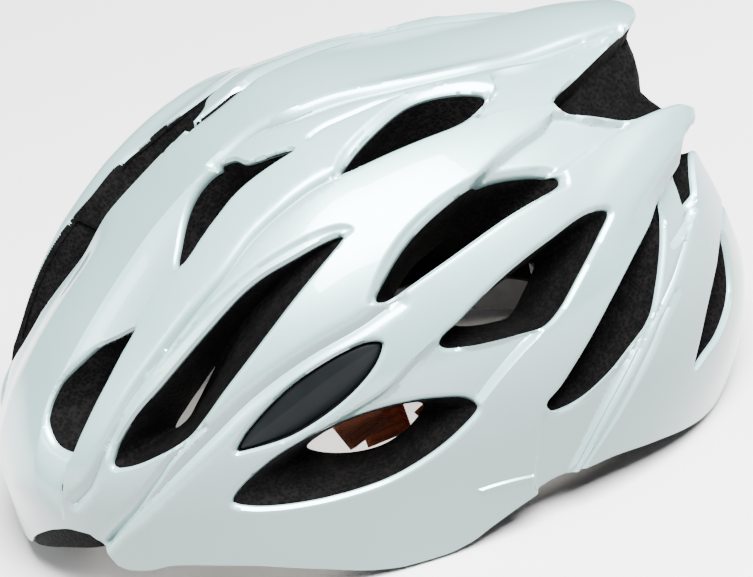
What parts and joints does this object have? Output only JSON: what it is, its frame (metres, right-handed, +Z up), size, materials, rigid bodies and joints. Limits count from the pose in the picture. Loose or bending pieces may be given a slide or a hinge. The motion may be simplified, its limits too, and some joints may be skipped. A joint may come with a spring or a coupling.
{
  "type": "cycling helmet",
  "caption": "Vented road cycling helmet: thin gloss shell over a foam liner, with pads, an open strap set and a dial-adjusted head band.",
  "frame": {"origin": "middle of the helmet's footprint, on the surface it rests on", "axes": "+X to the wearer's left, -Y forward towards the brow, +Z up"},
  "size_m": [0.2078, 0.2937, 0.1545],
  "materials": {
    "pearl_white": "clear-coated pearl gloss",
    "black_foam": "moulded bead foam, matt",
    "grey_gloss": "gloss dark grey",
    "black_plastic": "moulded, fine texture",
    "webbing": "woven flat webbing",
    "pad_cloth": "brushed knit over foam",
    "screw_steel": "plated"
  },
  "bodies": {
    "helmet": {"outer_shell": "pearl_white", "eps_liner": "black_foam", "side_inlay_left": "grey_gloss", "side_inlay_right": "grey_gloss", "brow_pad": "pad_cloth", "crown_pad": "pad_cloth", "rib_pad_left": "pad_cloth", "rib_pad_right": "pad_cloth", "side_pad_left": "pad_cloth", "side_pad_right": "pad_cloth", "rear_pad": "pad_cloth", "strap_anchor_front_left": "black_plastic", "strap_anchor_rear_left": "black_plastic", "strap_anchor_front_right": "black_plastic", "strap_anchor_rear_right": "black_plastic", "front_strap_left": "webbing", "rear_strap_left": "webbing", "chin_strap_left": "webbing", "front_strap_right": "webbing", "rear_strap_right": "webbing", "chin_strap_right": "webbing", "strap_divider_left": "black_plastic", "strap_divider_right": "black_plastic", "buckle_socket": "black_plastic", "buckle_clip": "black_plastic", "temple_anchor_left": "black_plastic", "temple_anchor_right": "black_plastic"},
    "lever_left": {"divider_lever_left": "black_plastic"},
    "lever_right": {"divider_lever_right": "black_plastic"},
    "prong_front": {"buckle_prong_front": "black_plastic"},
    "prong_rear": {"buckle_prong_rear": "black_plastic"},
    "fit_frame": {"swivel_left": "black_plastic", "swivel_right": "black_plastic"},
    "band_left": {"band_left": "black_plastic"},
    "band_right": {"band_right": "black_plastic"},
    "cradle": {"rear_cradle": "black_plastic", "cradle_screws": "screw_steel", "cradle_pads": "pad_cloth"},
    "dial": {"dial_knob": "black_plastic", "dial_pinion": "black_plastic"}
  },
  "joints": [
    {"name": "lever_left_flip", "type": "hinge", "parent": "helmet", "child": "lever_left", "pos_m": [0.0511, -0.008, 0.0135], "axis": [0, -1, 0], "range_deg": [0, 80]},
    {"name": "lever_right_flip", "type": "hinge", "parent": "helmet", "child": "lever_right", "pos_m": [-0.0511, -0.008, 0.0135], "axis": [0, 1, 0], "range_deg": [0, 80]},
    {"name": "prong_front_squeeze", "type": "hinge", "parent": "helmet", "child": "prong_front", "pos_m": [-0.042, -0.0205, 0.081], "axis": [-1, 0, 0], "range_deg": [0, 7], "stiffness_Nm_per_rad": 0.05},
    {"name": "prong_rear_squeeze", "type": "hinge", "parent": "helmet", "child": "prong_rear", "pos_m": [-0.042, -0.0035, 0.081], "axis": [1, 0, 0], "range_deg": [0, 7], "stiffness_Nm_per_rad": 0.05},
    {"name": "fit_tilt", "type": "hinge", "parent": "helmet", "child": "fit_frame", "pos_m": [0, -0.022, 0.02], "axis": [1, 0, 0], "range_deg": [-1, 8]},
    {"name": "cradle_slide", "type": "slide", "parent": "fit_frame", "child": "cradle", "axis": [0, 1, 0], "range_m": [-0.00336, 0.00336]},
    {"name": "dial_turn", "type": "hinge", "parent": "cradle", "child": "dial", "pos_m": [0, 0.0821, 0.02], "axis": [0, 1, 0], "range_deg": [-64, 64]},
    {"name": "band_left_swing", "type": "hinge", "parent": "fit_frame", "child": "band_left", "pos_m": [0.0655, -0.022, 0.02], "axis": [0, 0, 1], "range_deg": [-3, 3]},
    {"name": "band_right_swing", "type": "hinge", "parent": "fit_frame", "child": "band_right", "pos_m": [-0.0655, -0.022, 0.02], "axis": [0, 0, 1], "range_deg": [-3, 3]}
  ],
  "couplings": [
    {"joint": "band_left_swing", "follows": "cradle_slide", "rad_per_m": -15.504},
    {"joint": "band_right_swing", "follows": "cradle_slide", "rad_per_m": 15.504},
    {"joint": "dial_turn", "follows": "cradle_slide", "rad_per_m": 332.78}
  ]
}
